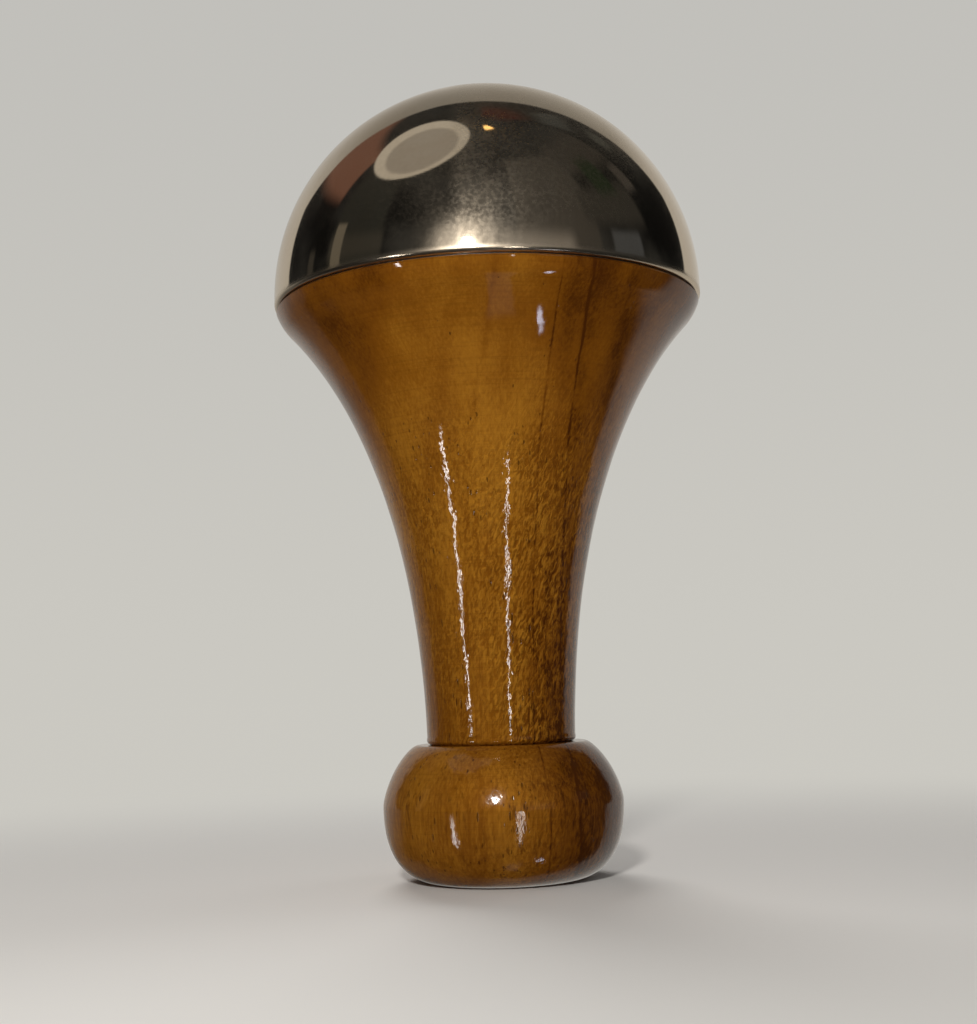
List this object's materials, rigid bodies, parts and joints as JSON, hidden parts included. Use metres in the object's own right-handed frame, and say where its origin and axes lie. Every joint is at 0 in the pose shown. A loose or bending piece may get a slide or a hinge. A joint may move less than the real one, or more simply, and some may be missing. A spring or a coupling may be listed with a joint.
{
  "type": "massage wand",
  "caption": "Hand massage wand: polished bell-metal dome on a flared, turned and lacquered wooden handle with a bun-shaped end knob.",
  "frame": {"origin": "centre of the knob's flat end, the face the wand stands on", "axes": "+Z along the axis of turning, from the knob to the metal dome; X and Y are any two square directions, because the wand is round"},
  "size_m": [0.07, 0.07, 0.1288],
  "materials": {
    "bell_metal": "cast, turned and mirror polished",
    "resin": "set resin",
    "steel": "rolled thread",
    "lacquered_wood": "turned and glossy amber lacquer",
    "bare_wood": "bare, with glue grooves"
  },
  "bodies": {
    "root": {"bell_metal_cap": "bell_metal", "resin_bed": "resin", "centre_stud": "steel", "handle": "lacquered_wood", "knob_dowel": "bare_wood", "end_knob": "lacquered_wood"}
  },
  "joints": []
}
